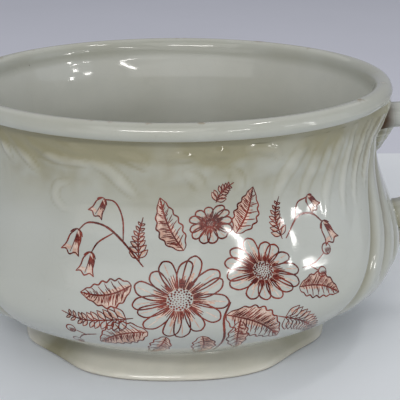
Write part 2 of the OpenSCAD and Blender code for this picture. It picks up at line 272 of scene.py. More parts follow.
# Raised leaf lobes and folds of the mould: turn from the front in degrees, height in mm, half width, lift
moulded_leaves = [
    ([(-66, 125), (-63, 115), (-61, 104)], 3.0, 0.8),
    ([(-60, 126), (-57, 117), (-55, 107)], 3.2, 0.8),
    ([(-53, 127), (-50, 124), (-47.5, 119), (-45, 113)], 3.2, 0.9),
    ([(-45, 124), (-42, 120.5), (-39, 116), (-36, 111)], 3.0, 0.9),
    ([(-39, 125.5), (-36, 122.5), (-32, 120), (-27, 118.5), (-21, 117.5)], 3.2, 1.0),
    ([(-30, 126), (-25, 124), (-20, 123)], 2.8, 0.6),
    ([(-20, 119), (-16, 115.5), (-12, 109), (-9, 103)], 3.4, 0.6),
    ([(-27, 108.5), (-30, 106), (-31, 101), (-29, 97), (-26, 95)], 2.6, 0.5),
    ([(-13, 123), (-9, 121), (-6, 117)], 3.2, 0.8),
    ([(-2, 122), (1.5, 123.3), (5, 122)], 3.4, 1.1),
    ([(3, 115), (5.5, 111), (7, 106)], 3.4, 0.5),
    ([(8, 122.8), (11, 123.8), (14, 122.3)], 3.2, 1.0),
    ([(14, 115.5), (15.5, 111), (16, 105)], 3.4, 0.5),
    ([(17.5, 124), (21, 125), (25, 123), (27, 119)], 3.4, 1.1),
    ([(36, 127), (32, 119), (28, 109), (25, 98)], 3.8, 0.6),
    ([(42, 127), (38.5, 116), (35, 103), (33, 93)], 3.6, 0.55),
    ([(48.5, 127), (45, 113), (42, 99), (40.5, 87)], 3.6, 0.6),
    ([(54.5, 127), (51, 113), (48.5, 98), (47, 85)], 3.2, 0.7),
    ([(60.5, 127), (57.5, 114), (54.5, 100), (52.5, 88)], 2.8, 0.85),
    ([(66, 127), (63.5, 115), (60.5, 102), (58.5, 93)], 2.9, 0.9),
    ([(71, 127), (69, 116), (66.5, 105)], 2.6, 0.9),
]
rib_points, rib_reach, rib_lift = [], [], []
for path, half_width, lift in moulded_leaves:
    for point, along in smooth_path(path, 0.6):
        taper = math.sin(math.pi * (0.1 + 0.88 * along)) ** 0.7
        for half_turn in (0, -180, 180):
            rib_points.append((math.radians(point[0] + half_turn) * sheet_radius, point[1] * mm, 0.0))
            rib_reach.append(half_width * (0.3 + 0.7 * taper) * mm)
            rib_lift.append(lift * taper * mm)


def marked(mesh, label, values):
    mesh.attributes.new(label, "FLOAT", "POINT").data.foreach_set("value", values)


rib_sheet = bpy.data.meshes.new("rib_sheet")
rib_sheet.from_pydata(rib_points, [], [])
marked(rib_sheet, "reach", rib_reach)
marked(rib_sheet, "lift", rib_lift)
ribs = shown("rib_sheet", rib_sheet)

fold_height, fold_drop = 6.2 * mm, 18 * mm
fold_start, fold_end = (6.0, 9.0), (20.0, 38.0)
inside_bend, bend_start, bend_height, bend_round = 1.8 * mm, 76 * mm, 105 * mm, 76 * mm
groove_turn, groove_sweep, groove_half, rib_pitch = 21.0, 18.0, 3.4, 9.0
panel_top, panel_end, foot_fade = 106 * mm, 118.6 * mm, 16.4 * mm
rib_foot, rib_full, lobe_end = 41.8 * mm, 56.1 * mm, 52 * mm
outside_rows, inside_rows, inside_share = 118, 46, 0.962
wall_sizes = {
    "Columns": 541, "Rows": outside_rows + inside_rows + 1, "Foot top": foot_top, "Rim seat": rim_seat,
    "Waist": waist_radius, "Belly": belly_radius, "Neck": neck_radius, "Belly height": belly_height,
    "Neck height": neck_height, "Fullness": bowl_fullness, "Wall": wall_thick, "Floor": floor_radius,
    "Groove": 2.4 * mm, "Ridge": 0.8 * mm, "Side rib": 2.1 * mm, "Valley": 0.8 * mm, "Lobe valley": 1.4 * mm,
    "Leaf band": 1.2 * mm, "Rim folds": fold_height, "Bend": inside_bend, "Hand wobble": 0.4 * mm,
    "Ribs": ribs, "Glaze": glaze,
}
wall_form, size = form_tree("moulded_wall", wall_sizes)
sheet = made(wall_form, "GeometryNodeMeshGrid", feeds={
    "Size X": 1.0, "Size Y": 1.0, "Vertices X": size["Columns"], "Vertices Y": size["Rows"]})
across, up, _ = spread_out(made(wall_form, "GeometryNodeInputPosition"))
turn = across * 360.0
turn_angle = turn * (math.pi / 180)
round_x, round_y = turn_angle.by("SINE"), turn_angle.by("COSINE") * -1.0
row = (up + 0.5) * (size["Rows"] - 1.0)
inside = row.by("GREATER_THAN", outside_rows - 0.5)
floor_edge = row.by("GREATER_THAN", outside_rows + inside_rows - 1.5)
last_row = row.by("GREATER_THAN", outside_rows + inside_rows - 0.5)
rise = size["Rim seat"] - size["Foot top"]
outside_height = size["Foot top"] + rise * row / (outside_rows - 1.0)
inside_height = size["Rim seat"] - rise * inside_share * (row - outside_rows) / (inside_rows - 2.0)
height = outside_height + inside * (inside_height - outside_height)
height = height.between(size["Foot top"], size["Rim seat"])

# Plain section of the wall and its slope: a bowl under the belly, an ogee over it and a straight neck
down_share = ((size["Belly height"] - height) / (size["Belly height"] - size["Foot top"])).between(0.0, 1.0)
under_angle = math.pi / 2 * down_share.by("POWER", size["Fullness"])
over_angle = math.pi * ((height - size["Belly height"])
                        / (size["Neck height"] - size["Belly height"])).between(0.0, 1.0)
under = height.by("LESS_THAN", size["Belly height"])
under_radius = size["Waist"] + (size["Belly"] - size["Waist"]) * under_angle.by("COSINE")
over_radius = size["Neck"] + (size["Belly"] - size["Neck"]) * (over_angle.by("COSINE") + 1.0) * 0.5
radius = over_radius + under * (under_radius - over_radius)
under_slope = ((size["Belly"] - size["Waist"]) * under_angle.by("SINE") * (math.pi / 2) * size["Fullness"]
               * down_share.by("POWER", size["Fullness"] - 1.0) / (size["Belly height"] - size["Foot top"]))
over_slope = ((size["Belly"] - size["Neck"]) * over_angle.by("SINE") * (-math.pi / 2)
              / (size["Neck height"] - size["Belly height"]))
slope = over_slope + under * (under_slope - over_slope)
lean = (slope * slope + 1.0).by("SQRT")

# Swept grooves that frame the front and back, ribs on the sides and soft valleys beside the middle
side = (turn.by("ABSOLUTE") - 90.0).by("ABSOLUTE")
neck_share = (size["Neck height"] - height) / (size["Neck height"] - size["Belly height"])
line = groove_turn + groove_sweep * neck_share.between(0.0, 1.25)
below_rim = 1.0 - eased(height, panel_top, panel_end)
above_foot = eased(height, foot_top, foot_top + foot_fade)
upright = below_rim * eased(height, rib_foot, rib_full)
under_belly = above_foot * (1.0 - eased(height, rib_foot, lobe_end))
handle_half = turn.by("GREATER_THAN", 0.0)
by_handle = handle_half * (1.0 - eased(side, 12.0, 15.0))
fold_rise = ((height - size["Rim seat"] + fold_drop) / fold_drop).between(0.0, 1.0)
fold_swell = (fold_rise.by("POWER", 1.2) * handle_half * eased(side, *fold_start)
              * (1.0 - eased(side, *fold_end)))
on_side = (1.0 - by_handle) * (1.0 - eased(side, line - 6.0, line - 3.0))
groove_width = groove_half * (2.0 - eased(height, foot_top, belly_height))
in_groove = swelling(side, line, groove_width) * below_rim * above_foot
rib_wave = ((line - side) * (2 * math.pi / rib_pitch)).by("COSINE") * 0.5 + 0.5
rib_valley = rib_wave.by("POWER", 2.4) * on_side * upright
panel = (size["Ridge"] * swelling(side, line + 6.0, 6.0) * upright - size["Groove"] * in_groove
         - size["Side rib"] * rib_valley - size["Valley"] * swelling(side, 55.0, 9.0) * upright
         - size["Lobe valley"] * swelling(side, line * 0.5, 8.0) * under_belly)

# Leaf ribs raised where the sheet of rib points comes near
sheet_place = gathered(turn_angle * sheet_radius, height, 0.0)
rib_form = made(wall_form, "GeometryNodeObjectInfo", "Geometry", feeds={"Object": size["Ribs"]})
nearest = made(wall_form, "GeometryNodeSampleNearest",
               feeds={"Geometry": rib_form, "Sample Position": sheet_place})


def at_nearest(kind, value):
    return made(wall_form, "GeometryNodeSampleIndex", 0, {"data_type": kind},
                {"Geometry": rib_form, "Value": value, "Index": nearest})


rib_place = at_nearest("FLOAT_VECTOR", made(wall_form, "GeometryNodeInputPosition"))
rib_width, rib_height = (
    at_nearest("FLOAT", made(wall_form, "GeometryNodeInputNamedAttribute", 0, {"data_type": "FLOAT"},
                             {"Name": label}))
    for label in ("reach", "lift"))
rib_gap = made(wall_form, "ShaderNodeVectorMath", "Value", {"operation": "DISTANCE"},
               {0: sheet_place, 1: rib_place})
rib_share = (rib_gap / rib_width).between(0.0, 1.0)
raised = rib_height * (1.0 - rib_share * rib_share).by("POWER", 1.3)
beside_rib = swelling(rib_gap, rib_width, rib_width * 0.4) * eased(rib_height, 0.0, 0.6 * mm)

# Soft dapple of the leaf band and the slight unevenness of a wall pressed by hand
plain_place = gathered(round_x * radius, round_y * radius, height)
leafy = ((cloudy(plain_place, 105.0, 1.5) - 0.5) * 2.0 * eased(height, 100 * mm, 111 * mm)
         * (1.0 - eased(height, 120 * mm, 126 * mm)) * eased(side, 24.0, 32.0))
wobble = (cloudy(plain_place, 17.0, 1.0) - 1.0) * below_rim * above_foot

# Relief on the outside, the wiped inside, and the last two rows that close the wall round the floor
relief = (panel + raised + size["Leaf band"] * leafy + size["Rim folds"] * fold_swell
          + size["Hand wobble"] * wobble)
outer_radius = radius + relief
over_bend = (height - bend_height).by("MAXIMUM", 0.0)
inner_radius = (radius - size["Wall"] / lean - size["Bend"] * eased(height, bend_start, bend_height)
                + over_bend * over_bend / (2.0 * bend_round))
inner_height = height + size["Wall"] * slope / lean
final_radius = outer_radius + inside * (inner_radius - outer_radius)
final_height = height + inside * (inner_height - height)
final_radius = final_radius + floor_edge * (size["Floor"] - final_radius)
final_height = final_height + floor_edge * (size["Foot top"] - final_height)
final_radius = final_radius + last_row * (size["Waist"] - final_radius)


def kept(form, label, value):
    """The form with a number kept at each of its points, for the glaze to read."""
    return made(form.tree, "GeometryNodeStoreNamedAttribute", 0, {"data_type": "FLOAT", "domain": "POINT"},
                {"Geometry": form, "Name": label, "Value": value})


# Where the glaze has pooled, darkened under the rim also as painted shade; where it runs thin over the ribs,
# with painted light near the foot and over the inside; and painted shade with some grime beside the handle
outside = 1.0 - inside
# Under the rim the colour is darkened partly as painted shade and partly as pooled glaze; the rest is glaze
# pooled in the grooves, beside the ribs and at the foot.
pooling = ((0.54 * eased(height, 84 * mm, 112 * mm) + 0.75 * eased(height, 115 * mm, rim_seat))
           * (1.0 - 0.18 * eased(turn, 25.0, 45.0))
           + 0.2 * (1.0 - eased(height, foot_top, 22 * mm)) + 0.6 * in_groove + 0.25 * beside_rib
           + 0.1 * on_side * upright + 0.4 * rib_valley - 0.45 * leafy).between(0.0, 1.0)
# Lighter glaze: thin over the raised ribs, and painted lighter as painted light at the bottom of the outside
# and over the inside.
thinness = (outside * (raised / (2.8 * mm) + 0.3 * (1.0 - eased(height, foot_top, 24 * mm)))
            + 0.2 * inside).between(0.0, 1.0)
# Beside the handle the crack at the upper root is painted dark, as painted shade with some brown grime; the
# rib valleys, the grooves and the hollows beside the folds are painted dark as painted shade.
root_crack_shade_and_grime = (0.6 * swelling(side, 6.5, 3.5) * eased(height, 105 * mm, 113 * mm)
             * (1.0 - 0.8 * eased(height, 116 * mm, 125 * mm)))
valley_painted_shade = (0.45 * rib_valley + 0.16 * in_groove) * eased(height, 48 * mm, 85 * mm)
fold_painted_shade = 0.5 * beside_rib * (1.0 - eased(side, 24.0, 42.0)) * eased(height, 88 * mm, 106 * mm)
handle_shade_and_grime = (root_crack_shade_and_grime + valley_painted_shade + fold_painted_shade) * handle_half * outside
sheet = kept(sheet, "pooling", pooling * outside)
sheet = kept(sheet, "thinness", thinness)
sheet = kept(sheet, "stain", handle_shade_and_grime.between(0.0, 1.0))
final_place = gathered(round_x * final_radius, round_y * final_radius, final_height)
wall = made(wall_form, "GeometryNodeSetPosition", feeds={"Geometry": sheet, "Position": final_place})
closed = made(wall_form, "GeometryNodeMergeByDistance", feeds={"Geometry": wall, "Distance": 0.01 * mm})
close_tree(closed, size["Glaze"])
bowl_wall = grown("bowl_wall", wall_form, wall_sizes)
bpy.data.objects.remove(ribs)
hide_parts("front_wall", "back_wall")
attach(bowl_wall, "root")


# Bottom bat: a flat disc of the same clay, luted inside the foot of the wall, with its edge wiped up into
# the wall so that the inside has no corner.
def turned(name, outline, columns, spread, marks):
    """A turned piece from its section, which runs up the outside, over the top and down the inside."""
    points, faces, rings, values = [], [], [], {label: [] for label in marks}
    for radius, height in outline:
        ring = []
        for column in range(columns if radius else 1):
            angle = 2 * math.pi * column / columns
            wide = radius + spread(angle, radius, height) if radius else 0.0
            ring.append(len(points))
            points.append((wide * math.sin(angle), -wide * math.cos(angle), height))
            for label, rule in marks.items():
                values[label].append(rule(angle, radius, height))
        rings.append(ring if radius else ring * columns)
    loops = list(zip(rings, rings[1:])) + ([(rings[-1], rings[0])] if outline[0][0] else [])
    for low, high in loops:
        for column in range(columns):
            after = (column + 1) % columns
            corners = list(dict.fromkeys((low[column], low[after], high[after], high[column])))
            if len(corners) > 2:
                faces.append(corners)
    mesh = bpy.data.meshes.new(name)
    mesh.from_pydata(points, [], faces)
    for label in marks:
        marked(mesh, label, values[label])
    mesh.shade_smooth()
    mesh.set_sharp_from_angle(angle=crease_angle)
    mesh.materials.append(glaze)
    return shown(name, mesh)


floor_low, floor_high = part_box("floor")
floor_gap, dish_depth, edge_rings, floor_rings = 0.25 * mm, 0.9 * mm, 6, 40
top_face = 14 * mm
floor_bottom = floor_radius - floor_gap
floor_section = [(0, floor_low.z), (floor_bottom * 0.5, floor_low.z), (floor_bottom, floor_low.z)]
for part in range(1, edge_rings + 1):
    floor_section.append((floor_bottom + (floor_high.x - floor_bottom) * part / edge_rings,
                          floor_low.z + (floor_high.z - floor_low.z) * part / edge_rings))
for part in range(1, floor_rings):
    share = 1 - part / floor_rings
    floor_section.append((floor_high.x * share, floor_high.z - dish_depth * (1 - share ** 6)))
floor_section.append((0, floor_high.z - dish_depth))
# The floor is painted lighter like the inside of the wall, as painted light; its edge is darker with pooled
# glaze.
floor_bat = turned("floor_bat", floor_section, 240, lambda angle, radius, height: 0.0, {
    "pooling": lambda angle, radius, height: 0.3 * (radius / floor_high.x) ** 8 if height > top_face else 0.0,
    "thinness": lambda angle, radius, height: 0.2})
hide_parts("floor")
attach(floor_bat, "root")

# Foot ring: a rolled coil luted under the wall and flared to four lobes, with a soft notch below each framing
# groove; its face and lip are painted lighter, as painted light under the belly's overhang, the glaze pools
# in the notches, and the edge that it stands on is rubbed bare and darker along the standing line.
foot_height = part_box("foot_ring")[1].z
foot_flare, notch_depth, lobe_dip = 11.4 * mm, 3.8 * mm, 1.8 * mm
notch_turn, notch_reach, dip_reach = 39, 20, 26
foot_hollow, foot_undercut, undercut_share = 0.8 * mm, 1.7 * mm, 0.18
foot_bore, bore_taper = 66 * mm, 5 * mm


def near(value, middle, reach):
    return max(0.0, 1 - ((value - middle) / reach) ** 2) ** 2


def foot_section_radius(height):
    t = height / foot_height
    hollow = math.sin(math.pi * (t - 0.35) / 0.65) if t > 0.35 else 0.0
    under = (1 - t / undercut_share) ** 2 if t < undercut_share else 0.0
    return waist_radius - foot_hollow * hollow - foot_undercut * under


def from_side(angle):
    return abs(math.degrees(math.acos(math.cos(angle))) - 90)


def foot_lobes(angle, radius, height):
    if radius < waist_radius - 3 * mm:
        return 0.0
    t = height / foot_height
    side_turn = from_side(angle)
    dips = near(side_turn, 90, dip_reach) + near(side_turn, 0, dip_reach)
    flare = foot_flare - notch_depth * near(side_turn, notch_turn, notch_reach) - lobe_dip * dips
    return flare * (1 - (1 - (1 - t) ** 1.3) ** 2.1)


def foot_pooling(angle, radius, height):
    return 0.2 + (0.8 if math.sin(angle) < 0 else 0.35) * near(from_side(angle), notch_turn, notch_reach)


foot_rows, bore_rows = 30, 6
foot_levels = [foot_height * part / foot_rows for part in range(foot_rows + 1)]
foot_outline = [(foot_section_radius(level), level) for level in foot_levels]
foot_outline += [(foot_bore - bore_taper * part / bore_rows, foot_height * part / bore_rows)
                 for part in range(bore_rows, -1, -1)]
foot_ring = turned("foot_ring_glazed", foot_outline, 540, foot_lobes, {
    "pooling": foot_pooling,
    # Painted light: the face is lighter all over and lightest low on the lip.
    "thinness": lambda angle, radius, height: 0.7 + 0.25 * math.exp(-((height - 1.8 * mm) / (2.2 * mm)) ** 2),
    "wear": lambda angle, radius, height: 1.0 if height < 0.7 * mm else 0.0,
    # Darker along the standing edge.
    "stain": lambda angle, radius, height: 0.8 * math.exp(-(height / (0.8 * mm)) ** 2)})
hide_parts("foot_ring")
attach(foot_ring, "root")

# Rim roll: the wall's top edge flared outwards and rolled over on a coil, so that the inside runs smoothly up
# to the edge and the outside overhangs the neck in a sharp hollow; the top is rubbed from use.
rim_low, rim_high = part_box("rim_roll")


def eased_step(value, low, high):
    t = min(1.0, max(0.0, (value - low) / (high - low)))
    return t * t * (3 - 2 * t)


mouth_radius = neck_radius - wall_thick
roll_bottom = 130 * mm
rim_shade_low, rim_shade_high = 127 * mm, 134 * mm
roll_round = (rim_high.z - roll_bottom) / 2
roll_middle = rim_high.z - roll_round
roll_centre = rim_high.x - roll_round
roll_offset = roll_centre - mouth_radius
flare_round = ((roll_offset ** 2 + (roll_middle - rim_low.z) ** 2 - roll_round ** 2)
               / (2 * (roll_offset - roll_round)))
flare_end = math.atan2(roll_middle - rim_low.z, roll_offset - flare_round)
roll_rows, flare_rows = 36, 18
rim_outline = [(neck_radius, rim_low.z), (neck_radius + 0.05 * mm, rim_low.z + 1.4 * mm),
               (neck_radius + 0.5 * mm, rim_low.z + 2.6 * mm)]
for part in range(roll_rows + 1):
    angle = -math.pi / 2 + (flare_end + math.pi / 2) * part / roll_rows
    rim_outline.append((roll_centre + roll_round * math.cos(angle),
                        roll_middle + roll_round * math.sin(angle)))
flare_top = Vector(rim_outline[-1])
bend_rise = rim_low.z - bend_height
flare_foot = Vector((mouth_radius - inside_bend + bend_rise ** 2 / (2 * bend_round), rim_low.z))
flare_pull = 0.36 * (flare_top - flare_foot).length
from_foot = flare_foot + Vector((bend_rise / bend_round, 1)).normalized() * flare_pull
from_top = flare_top - Vector((math.sin(flare_end), -math.cos(flare_end))) * flare_pull
for part in range(1, flare_rows + 1):
    t = part / flare_rows
    spot = ((1 - t) ** 3 * flare_top + 3 * t * (1 - t) ** 2 * from_top
            + 3 * t * t * (1 - t) * from_foot + t ** 3 * flare_foot)
    rim_outline.append((spot.x, spot.y))
wobble_start, wobble_rise = roll_middle - 3 * mm, 5 * mm


def rim_wobble(angle, radius, height):
    side_turn = from_side(angle)
    if height < roll_middle and radius >= neck_radius:
        fold = eased_step(side_turn, *fold_start) * (1 - eased_step(side_turn, *fold_end))
        fold = fold if math.sin(angle) > 0 else 0.0
        filled = neck_radius + (fold_height + 0.2 * mm) * fold
        return max(0.0, min(filled, rim_high.x - 0.3 * mm) - radius)
    if height < wobble_start:
        return 0.0
    rolled = min(1.0, (height - wobble_start) / wobble_rise)
    return (0.18 * math.cos(2 * angle + 0.6) + 0.12 * math.sin(5 * angle) - 0.3) * mm * rolled


# Under the roll, outside, the hollow is painted fully dark: painted shade together with pooled glaze; the top
# and the inside flare take a little pooled glaze.
def rim_pooling_and_shade(angle, radius, height):
    if height < roll_bottom + mm and radius >= neck_radius:
        return 1.0
    return 0.26 * eased_step(height, rim_shade_low, rim_shade_high)


# The inside below the roll is painted lighter as painted light, fading out up the flare.
def rim_inside_painted_light(angle, radius, height):
    return 0.2 * (1 - eased_step(height, rim_shade_low, rim_shade_high)) if radius < neck_radius else 0.0


def rim_wear(angle, radius, height):
    return math.exp(-((radius - roll_centre) / (2 * mm)) ** 2) if height > roll_middle else 0.0


rim_roll = turned("rim_roll_glazed", rim_outline, 540, rim_wobble, {
    "pooling": rim_pooling_and_shade, "thinness": rim_inside_painted_light, "wear": rim_wear})
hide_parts("rim_roll")
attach(rim_roll, "root")


# Handle: a pressed strap of clay bent to a loop, luted to the neck under the rim and to the belly, its roots
# wiped out onto the wall; the crack where the upper root meets the wall under the rim is painted dark, as
# painted shade with some brown grime.
def plain_wall(height):
    if height <= belly_height:
        angle = math.pi / 2 * ((belly_height - height) / (belly_height - foot_top)) ** bowl_fullness
        return waist_radius + (belly_radius - waist_radius) * math.cos(angle)
    angle = math.pi * min(1.0, (height - belly_height) / (neck_height - belly_height))
    return neck_radius + (belly_radius - neck_radius) * (1 + math.cos(angle)) / 2


strap_half_width, strap_half_thick = 8.5 * mm, 5.72 * mm
loop_pull, loop_lift, loop_sag = 66 * mm, 12 * mm, 0.38
upper_root = Vector((neck_radius - wall_thick / 2, rim_seat - 12.4 * mm))
lower_height = belly_height + 8 * mm
lower_root = Vector((plain_wall(lower_height) - wall_thick / 2, lower_height))
upper_pull = upper_root + Vector((loop_pull, loop_lift))
lower_pull = lower_root + Vector((loop_pull, (upper_root.y - lower_root.y) * loop_sag))
strap_rings, strap_sides = 120, 48
strap_groove, strap_groove_reach, strap_groove_depth = 0.45, 0.16, 0.10
end_swell, root_swell, root_reach, pool_reach, crack_shade_reach = 0.16, 0.22, 3 * mm, 4 * mm, 8.4 * mm
strap_points, strap_faces, strap_pool, strap_crack_shade = [], [], [], []
for ring_number in range(strap_rings + 1):
    t = ring_number / strap_rings
    centre = ((1 - t) ** 3 * upper_root + 3 * t * (1 - t) ** 2 * upper_pull
              + 3 * t * t * (1 - t) * lower_pull + t ** 3 * lower_root)
    along = ((1 - t) ** 2 * (upper_pull - upper_root) + 2 * t * (1 - t) * (lower_pull - upper_pull)
             + t * t * (lower_root - lower_pull)).normalized()
    clear = max(0.0, centre.x - plain_wall(centre.y))
    broad = 1 + end_swell * math.cos(math.pi * t) ** 4 + root_swell * math.exp(-clear / root_reach)
    for side_number in range(strap_sides):
        angle = 2 * math.pi * side_number / strap_sides
        flat = math.copysign(abs(math.cos(angle)) ** 0.9, math.cos(angle))
        rise_part = math.copysign(abs(math.sin(angle)) ** 0.9, math.sin(angle))
        grooves = sum(math.exp(-((flat - middle) / strap_groove_reach) ** 2)
                      for middle in (strap_groove, -strap_groove))
        ridge = 1 - strap_groove_depth * grooves if rise_part > 0 else 1.0
        up_by = strap_half_thick * broad * rise_part * ridge
        strap_points.append((centre.x - along.y * up_by, strap_half_width * broad * flat,
                             centre.y + along.x * up_by))
        strap_pool.append(0.8 * math.exp(-clear / pool_reach))
        # The top and sides of the strap near the upper root are painted dark: painted shade in the crack with
        # some brown grime.
        strap_crack_shade.append(1.1 * math.exp(-(clear / crack_shade_reach) ** 4) * (t < 0.5) * (rise_part > -0.8))
for ring_number in range(strap_rings):
    for side_number in range(strap_sides):
        low = ring_number * strap_sides + side_number
        after = ring_number * strap_sides + (side_number + 1) % strap_sides
        strap_faces.append((low, after, after + strap_sides, low + strap_sides))
strap_faces.append(tuple(reversed(range(strap_sides))))
strap_faces.append(tuple(strap_rings * strap_sides + number for number in range(strap_sides)))
strap_mesh = bpy.data.meshes.new("handle_strap")
strap_mesh.from_pydata(strap_points, [], strap_faces)
marked(strap_mesh, "pooling", strap_pool)
marked(strap_mesh, "stain", strap_crack_shade)
strap_mesh.shade_smooth()
strap_mesh.materials.append(glaze)
handle_strap = shown("handle_strap", strap_mesh)
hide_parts("handle")
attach(handle_strap, "root")

# Root leaves: two small pressed leaves, veined lengthwise, luted on the wall below the handle's roots to
# cover the joints. The upper one stands out further at its top, as a bracket under the handle.
leaf_half_width, leaf_edge, leaf_swell, leaf_bed = 14 * mm, 0.8 * mm, 3.8 * mm, 0.6 * mm
leaf_lobes, leaf_veins = 4.5, 3


def root_leaf(name, node, top, length, prop):
    rows, columns = 48, 40
    points, faces, pool = [], [], []
    for layer in (1, 0):
        for row_number in range(rows + 1):
            v = row_number / rows
            half = leaf_half_width * (0.12 + 0.88 * math.sin(math.radians(25 + 155 * v)) ** 0.9)
            half *= (1 - 0.85 * v * v) * (1 + 0.06 * math.cos(2 * math.pi * leaf_lobes * v))
            for column in range(columns + 1):
                u = 2 * column / columns - 1
                vein = math.cos(2 * math.pi * leaf_veins * abs(u) ** 1.2 * (1 - 0.25 * v))
                swell = leaf_swell * (1 - 0.6 * v) * (0.8 + 0.2 * vein) + prop * (1 - v) ** 1.2
                thick = leaf_edge + (1 - u * u) * swell * min(1.0, 6 * (1 - v))
                height = top - length * v
                radius = plain_wall(height) + (thick if layer else -leaf_bed)
                angle = half * u / plain_wall(height)
                points.append((radius * math.cos(angle), radius * math.sin(angle), height))
                pool.append(0.5 * (1 - vein) / 2 + 0.4 * abs(u) ** 4)
    count = (rows + 1) * (columns + 1)
    for row_number in range(rows):
        for column in range(columns):
            first = row_number * (columns + 1) + column
            below = first + columns + 1
            faces.append((first, below, below + 1, first + 1))
            faces.append((first + count, first + 1 + count, below + 1 + count, below + count))
    edge = list(range(columns + 1))
    edge += [number * (columns + 1) + columns for number in range(1, rows + 1)]
    edge += [rows * (columns + 1) + number for number in range(columns - 1, -1, -1)]
    edge += [number * (columns + 1) for number in range(rows - 1, 0, -1)]
    for first, after in zip(edge, edge[1:] + edge[:1]):
        faces.append((first, after, after + count, first + count))
    mesh = bpy.data.meshes.new(name)
    mesh.from_pydata(points, [], faces)
    marked(mesh, "pooling", pool)
    mesh.shade_smooth()
    mesh.materials.append(glaze)
    piece = shown(name, mesh)
    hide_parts(node)
    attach(piece, "root")


root_half, upper_lap, lower_lap = 6.728 * mm, 3 * mm, 1 * mm
upper_length, lower_length, upper_prop = 15 * mm, 30 * mm, 7.2 * mm
root_leaf("upper_root_leaf", "upper_leaf", upper_root.y - root_half + upper_lap, upper_length, upper_prop)
root_leaf("lower_root_leaf", "lower_leaf", lower_root.y - root_half + lower_lap, lower_length, 0.0)

# Printed spray: a transfer in red-brown ink laid on the fired body under the glaze, drawn in fine lines with
# hatched shading. Asters, narrow leaves, bell buds, ferns and berries stand on the front and on the back.
# Places, lengths and line widths of the drawing are in mm.
draw = random.Random(11)
outline_width, vein_width, hatch_width = 0.72, 0.48, 0.42
line_strokes, tone_strokes, line_dots, line_washes, tone_washes = [], [], [], [], []


def stroke(points, width, ink=line_strokes):
    ink.append(([Vector(point) for point in points], width))


def wash(first_edge, second_edge, ink=tone_washes):
    ink.append(([Vector(point) for point in first_edge], [Vector(point) for point in second_edge]))


def turned_about(point, centre, angle, squash=1.0):
    x, y = point[0], point[1] * squash
    return (centre[0] + x * math.cos(angle) - y * math.sin(angle),
            centre[1] + x * math.sin(angle) + y * math.cos(angle))


petal_edge = [(0, -0.4), (0.45, -0.9), (0.85, -0.85), (1, -0.1),
              (0.96, 0.45), (0.8, 0.9), (0.4, 0.85), (0, 0.4)]
seeds, small_seeds, seed_turn = 60, 26, 2.39996


def aster(centre, flower_radius, petals, squash, tilt):
    disc = 0.27 * flower_radius
    for petal in range(petals):
        angle = 2 * math.pi * petal / petals + draw.uniform(-0.07, 0.07)
        reach = flower_radius * draw.uniform(0.86, 1.05)
        half = reach * 0.84 * math.pi / petals
        bend = draw.uniform(-0.12, 0.12) * reach

        def spot(along, side_step):
            x, y = disc + (reach - disc) * along, side_step * half + bend * along * along
            on_petal = (x * math.cos(angle) - y * math.sin(angle), x * math.sin(angle) + y * math.cos(angle))
            return turned_about(on_petal, centre, tilt, squash)

        stroke([spot(*point) for point in petal_edge], outline_width)
        shaded = draw.uniform(0.38, 0.62)
        wash([spot(part * shaded / 6, -0.42) for part in range(7)],
             [spot(part * shaded / 6, 0.42 - 0.6 * part / 6) for part in range(7)])
        for hatch in (-0.5, -0.2, 0.12, 0.42):
            stroke([spot(0.0, hatch * 0.6), spot(draw.uniform(0.25, 0.5), hatch)], hatch_width)
        stroke([spot(0.5, 0.0), spot(0.92, 0.05)], 0.45, tone_strokes)
        wash([spot(0.0, 0.40), spot(0.12, 0.62), spot(0.26, 0.86)],
             [spot(0.0, 0.62), spot(0.13, 0.92), spot(0.27, 0.98)], line_washes)
    for seed in range(seeds):
        away = disc * 0.98 * math.sqrt((seed + 0.5) / seeds)
        angle = seed * seed_turn
        seed_place = turned_about((away * math.cos(angle), away * math.sin(angle)), centre, tilt, squash)
        line_dots.append((seed_place, 0.32 if seed < small_seeds else 0.5))


def leaf(base, tip, half, bow, teeth):
    base, tip = Vector(base), Vector(tip)
    along = tip - base
    square = Vector((-along.y, along.x)).normalized()

    def spot(t, s):
        wave = 1 + 0.10 * math.sin(teeth * 2 * math.pi * t)
        fat = half * math.sin(math.pi * t ** 0.8) ** 0.85 * wave if 0 < t < 1 else 0.0
        return base + along * t + square * (bow * math.sin(math.pi * t) + s * fat)

    for s in (-1, 1):
        stroke([spot(part / 26, s) for part in range(27)], outline_width)
    stroke([spot(part / 8, 0) for part in range(9)], 0.85)
    wash([spot(part / 16, 0.02) for part in range(17)], [spot(part / 16, 0.94) for part in range(17)])
    wash([spot(part / 16, -0.02) for part in range(10)],
         [spot(part / 16, -0.5 + 0.03 * part) for part in range(10)])
    veins = max(4, int(along.length / 3.2))
    for vein in range(1, veins):
        t = 0.92 * vein / veins
        for s in (-1, 1):
            stroke([spot(t, 0), spot(min(0.98, t + 0.07), 0.5 * s), spot(min(0.99, t + 0.11), 0.86 * s)],
                   vein_width)
    for hatch in range(veins * 4):
        t = 0.06 + 0.86 * hatch / (veins * 4)
        stroke([spot(t, 0.05), spot(min(0.98, t + 0.05), draw.uniform(0.35, 0.9))], hatch_width)
        if hatch % 2:
            stroke([spot(t, -0.05), spot(min(0.98, t + 0.04), -draw.uniform(0.3, 0.6))], 0.36)


bell_edge = [(0.10, 0), (0.30, -0.28), (0.34, -0.68), (0.50, -1.0)]
bell_middle = [(0.02, 0), (0.06, -0.28), (0.06, -0.68), (0.12, -0.95)]
bell_mouth = [(-0.50, -1.0), (-0.25, -0.9), (0, -1.06), (0.25, -0.9), (0.50, -1.0)]


